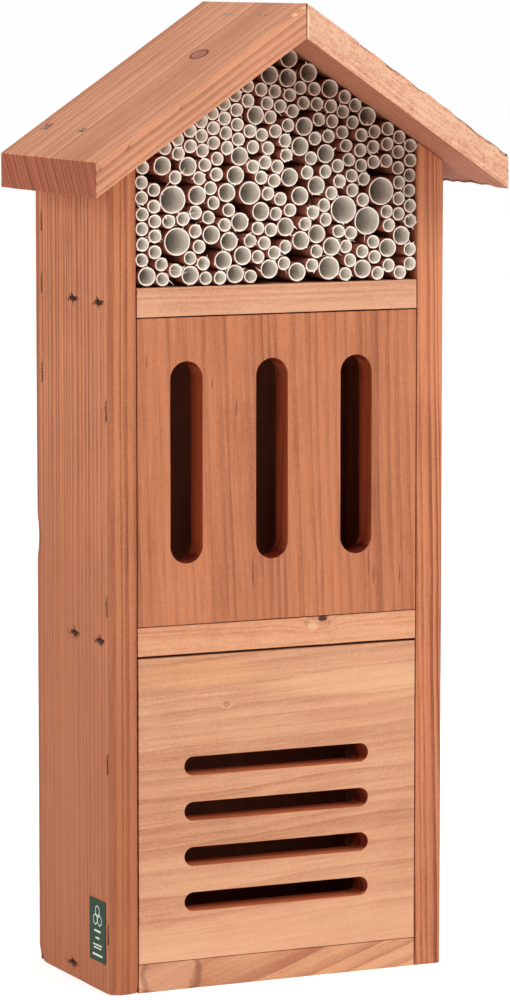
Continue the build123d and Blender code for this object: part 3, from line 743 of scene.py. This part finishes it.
def roof_board(side, seed):
    """A roof board, worked out level and then sheared down from the ridge by the roof's slope.
    The wood over a crown is torn open, except where one has only bruised it."""
    low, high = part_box("roof_board_" + side)
    drop = (high[0] - low[0]) * roof_slope
    thick = high[2] - low[2] - drop
    staples = bodies_of("eave_staples_" + side)
    staples += bodies_of("ridge_staples") if side == "left" else []
    crowns = []
    for s_low, s_high in staples:
        out = s_low[0] if abs(s_low[0]) > abs(s_high[0]) else s_high[0]
        crowns.append((out, (s_low[1] + s_high[1]) / 2, s_high[2]))
    around = [(np.array([x - 3 * mm, y - 6 * mm, 0]), np.array([x + 3 * mm, y + 6 * mm, 1]))
              for x, y, z in crowns]
    marks = fine_marks(around, 0, 0.6 * mm)
    step = 1.2 * mm if side == "right" else sawn_step
    board = Board(*soft_block((low[0], low[1], 0), (high[0], high[1], thick), step=step,
                              marks=marks))
    board.saw(0.3 * mm, seed)
    way = -1 if side == "left" else 1
    for number, (x, y, z) in enumerate(crowns):
        spot = (x - way * 1.2 * mm, y, thick)
        if number == 1:
            board.press(spot, (2.2 * mm, 4.6 * mm, 4 * mm), 0.25 * mm, 0.75, 5, ragged=0.22)
        else:
            board.press(spot, (1.5 * mm, 3.6 * mm, 4 * mm), 1.1 * mm, 0.8, 6, ragged=0.12)
    draw = np.random.default_rng(seed)
    if side == "right":
        for place in np.linspace(low[1] + 24 * mm, high[1] - 4 * mm, 8):
            spot = (high[0], place + draw.uniform(-3, 3) * mm, 0)
            size = (draw.uniform(3, 7) * mm, draw.uniform(3, 9) * mm, 5 * mm)
            board.press(spot, size, draw.uniform(0.4, 2.4) * mm, 0, 2)
        for place in np.linspace(0.03, high[0] - 5 * mm, 18):
            size = (draw.uniform(1.5, 4) * mm, 3 * mm, draw.uniform(1, 3) * mm)
            spot = (place + draw.uniform(-4, 4) * mm, low[1], thick)
            board.press(spot, size, draw.uniform(0.3, 1.6) * mm * (0.4 + place / high[0]), 0, 2)
    else:
        for place in np.linspace(-18 * mm, -2 * mm, 7):
            spot = (place, low[1], thick)
            size = (draw.uniform(1.5, 3) * mm, 2.5 * mm, draw.uniform(1, 2.4) * mm)
            board.press(spot, size, draw.uniform(0.4, 1.0) * mm, 0, 2)
        for place in (-68 * mm, -97 * mm, -112 * mm):
            board.press((place, low[1], thick - 5 * mm), (2 * mm, 3 * mm, 1.2 * mm), 0.5 * mm, 0.5, 4,
                        ragged=0.2)
    board.points[:, 2] += high[2] - thick - np.abs(board.points[:, 0]) * roof_slope
    return board


roof_knots = [((-0.0384, -0.019, 0.474), (0.0038, 0.0086, 0.0046), 1, 1.0)]
cream = tint(248, 214, 172)
torn_arris = [((-0.003, cad_low[1], 0.4975), (0.003, 0.0014, 0.0012), cream, 0.6),
              ((-0.008, cad_low[1], 0.4942), (0.003, 0.0014, 0.0012), cream, 0.5)]
joint_arris = [((0.0004, cad_low[1], 0.489), (0.0009, 0.003, 0.010), cream, 0.6)]
bark_side = [((0.108, 0.03, 0.405), (0.022, 0.05, 0.012), tint(160, 112, 108), 0.8)]
# Painted shade on the left board: its whole front face, which looks this way, gets a darker tone of
# its own.
front_way = (0, -1, 0)
# Painted shade under the right board: its whole underside, which looks this way, gets a darker tone
# of its own.
under_way = (-math.sin(roof_angle), 0, -math.cos(roof_angle))
left_roof_cedar = cedar("left_roof_cedar", tint(218, 156, 121), tint(166, 98, 67),
                        degrees(0, -56, 0), (0.1145, -0.36, 0), 2.5 * mm, figure=0.8, streak=1.0,
                        waver=0.5 * mm, fibre=1.0, knots=roof_knots, patches=torn_arris,
                        faces=[(front_way, tint(197, 133, 99), 0.85)])
right_roof_cedar = cedar("right_roof_cedar", tint(216, 172, 142), tint(180, 112, 80),
                         degrees(0, 56, 0), (0.2, 0.3, 0), 3.2 * mm, figure=0.2, streak=0.8,
                         saw_depth=0.6, fuzz=1.4, patches=bark_side + joint_arris,
                         faces=[(under_way, tint(168, 99, 70), 0.85)])
set_piece("left_roof_wood", roof_board("left", 31), left_roof_cedar,
          ["roof_board_left"])
set_piece("right_roof_wood", roof_board("right", 32), right_roof_cedar,
          ["roof_board_right"])

# ---------------------------------------------------------------- staples
# Flat zinc-coated wire, driven by an air stapler. The crowns in the walls are dark, and
# those in the roof and the back panel are bright.


def metal(name, bright, dull, size, sheen):
    """Plated steel: two tones that change over a spangle of this many cells to the metre."""
    finish = bpy.data.materials.new(name)
    finish.use_nodes = True
    tree = finish.node_tree
    start = Cut(tree)
    place = start.node("TexCoord", {}, {}, "Object")
    spangle = start.node("TexVoronoi", {"feature": "F1"}, {"Vector": place, "Scale": size}, "Color")
    tone = start.node("SeparateColor", {}, {"Color": spangle}, 0)
    cloud = place.grain((size * 0.3,) * 3, 3.0)
    scratch = place.grain((size * 5, size * 5, size * 0.4), 2.0)
    colour = (tone * 0.5 + cloud * 1.4 + 0.3).rise(0, 1).blend(bright, dull)
    bump = start.node("Bump", {}, {"Height": scratch + tone * 0.2, "Strength": 0.2,
                                   "Distance": 0.1 * mm})
    shader = tree.nodes["Principled BSDF"]
    tree.links.new(colour.socket, shader.inputs["Base Color"])
    tree.links.new(bump.socket, shader.inputs["Normal"])
    tree.links.new((sheen + tone * 0.12 + cloud * 0.2).socket, shader.inputs["Roughness"])
    shader.inputs["Metallic"].default_value = 0.85
    return finish


def finish_nodes(nodes, finish):
    """Gives the CAD nodes named, which stay in sight, one finish."""
    for node in nodes:
        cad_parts[node].data.materials.clear()
        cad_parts[node].data.materials.append(finish)


dark_wire = metal("dark_staple_wire", tint(62, 36, 28), tint(34, 18, 14), 900, 0.6)
bright_wire = metal("bright_staple_wire", tint(206, 200, 194), tint(128, 116, 108), 900, 0.35)
sides = ("left", "right")
finish_nodes([f"{row}_staples_{side}" for row in ("shelf", "panel", "back") for side in sides],
             dark_wire)
finish_nodes(["eave_staples_left", "eave_staples_right", "ridge_staples", "back_panel_staples"],
             bright_wire)

# ---------------------------------------------------------------- hanger
# A zinc-plated steel plate with a keyhole, over a pocket in the back panel. Two slotted
# countersunk screws hold it.
zinc = metal("zinc_plate", tint(214, 212, 208), tint(158, 158, 158), 420, 0.3)
screw_zinc = metal("screw_zinc", tint(222, 214, 190), tint(170, 160, 136), 900, 0.28)
finish_nodes(["hanger_plate"], zinc)
finish_nodes(["hanger_screw_left", "hanger_screw_right"], screw_zinc)

# ---------------------------------------------------------------- label
# A green paper sticker, glued low on the left wall and printed with a comb of cells and
# plain bars.
low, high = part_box("green_label")
cell = 2.6 * mm              # from a cell's middle to its flat side
line = 0.45 * mm
# Middles of the cells, and middle, half width and half height of the bars, in millimetres from
# the label's middle and its lower edge.
cells = [(0.0, 26.0), (-2.7, 21.3), (2.7, 21.3)]
bars = [(0.0, 15.6, 4.0, 0.45), (0.0, 12.0, 2.4, 0.45), (0.0, 8.4, 5.6, 0.3), (0.0, 6.8, 4.6, 0.3),
        (0.0, 3.2, 6.2, 0.45)]

green = bpy.data.materials.new("green_sticker")
green.use_nodes = True
tree = green.node_tree
start = Cut(tree)
place = start.node("TexCoord", {}, {}, "Object")
across = (low[1] + high[1]) / 2 - start.node("SeparateXYZ", {}, {"Vector": place}, "Y")
up = start.node("SeparateXYZ", {}, {"Vector": place}, "Z") - low[2]
ink = across * 0
for x, z in cells:
    aside, above = across - x * mm, up - z * mm
    aside, above = aside.maths("ABSOLUTE", aside), above.maths("ABSOLUTE", above)
    out = aside.maths("MAXIMUM", aside, aside * 0.5 + above * math.sin(math.radians(60)))
    ring = out.rise(cell - line - 0.1 * mm, cell - line) * (1 - out.rise(cell, cell + 0.1 * mm))
    ink = ink.maths("MAXIMUM", ink, ring)
for x, z, half_wide, half_high in bars:
    aside, above = across - x * mm, up - z * mm
    aside, above = aside.maths("ABSOLUTE", aside), above.maths("ABSOLUTE", above)
    bar = 1 - aside.rise(half_wide * mm, (half_wide + 0.15) * mm)
    bar = bar * (1 - above.rise(half_high * mm, (half_high + 0.15) * mm))
    ink = ink.maths("MAXIMUM", ink, bar)
worn = place.grain((700, 700, 700), 3.0)
ground = (place.grain((90, 90, 90), 2.0) + 0.5).rise(0, 1).blend(tint(38, 62, 42), tint(28, 48, 33))
colour = (ink * (0.88 + worn)).blend(ground, tint(206, 210, 200))
shader = tree.nodes["Principled BSDF"]
tree.links.new(colour.socket, shader.inputs["Base Color"])
tree.links.new((0.6 + worn * 0.3).socket, shader.inputs["Roughness"])
shader.inputs["Specular IOR Level"].default_value = 0.15
finish_nodes(["green_label"], green)

# ---------------------------------------------------------------- floor, light and camera
# A white sweep lit from underneath, one large soft light high at the front right, and a
# second one beside the left wall.
floor = bpy.data.meshes.new("floor")
floor.from_pydata([(-60, -60, 0), (60, -60, 0), (60, 60, 0), (-60, 60, 0)], [], [(0, 1, 2, 3)])
floor_white = bpy.data.materials.new("floor_white")
floor_white.use_nodes = True
shader = floor_white.node_tree.nodes["Principled BSDF"]
shader.inputs["Base Color"].default_value = (0.85, 0.85, 0.85, 1)
shader.inputs["Roughness"].default_value = 1.0
shader.inputs["Specular IOR Level"].default_value = 0.0
shader.inputs["Emission Color"].default_value = (1, 1, 1, 1)
shader.inputs["Emission Strength"].default_value = 0.56
floor.materials.append(floor_white)
floor_piece = bpy.data.objects.new("floor", floor)
bpy.context.collection.objects.link(floor_piece)
floor_piece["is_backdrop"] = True

world = bpy.data.worlds.new("studio")
world.use_nodes = True
world.node_tree.nodes["Background"].inputs["Color"].default_value = (1, 1, 1, 1)
world.node_tree.nodes["Background"].inputs["Strength"].default_value = 0.5
bpy.context.scene.world = world
bpy.context.scene.view_settings.view_transform = "Standard"


def soft_light(name, place, size, power):
    """A square light at a place, turned to face the middle of the box."""
    lamp = bpy.data.lights.new(name, "AREA")
    lamp.size, lamp.energy = size, power
    piece = bpy.data.objects.new(name, lamp)
    piece.location = place
    facing = Vector((0, 0, 0.3)) - Vector(place)
    piece.rotation_euler = facing.to_track_quat("-Z", "Y").to_euler()
    bpy.context.collection.objects.link(piece)


soft_light("front_light", (1.1, -1.7, 2.1), 1.5, 52)
soft_light("left_light", (-2.3, 0.5, 1.0), 1.4, 26)

camera = bpy.data.cameras.new("camera")
camera.lens = 163.88
camera_piece = bpy.data.objects.new("camera", camera)
camera_piece.location = (-0.9834, -2.10725, 0.5197)
camera_piece.rotation_euler = (math.radians(90 - 6.736), 0, math.radians(-25.051))
bpy.context.collection.objects.link(camera_piece)
bpy.context.scene.camera = camera_piece

low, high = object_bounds()
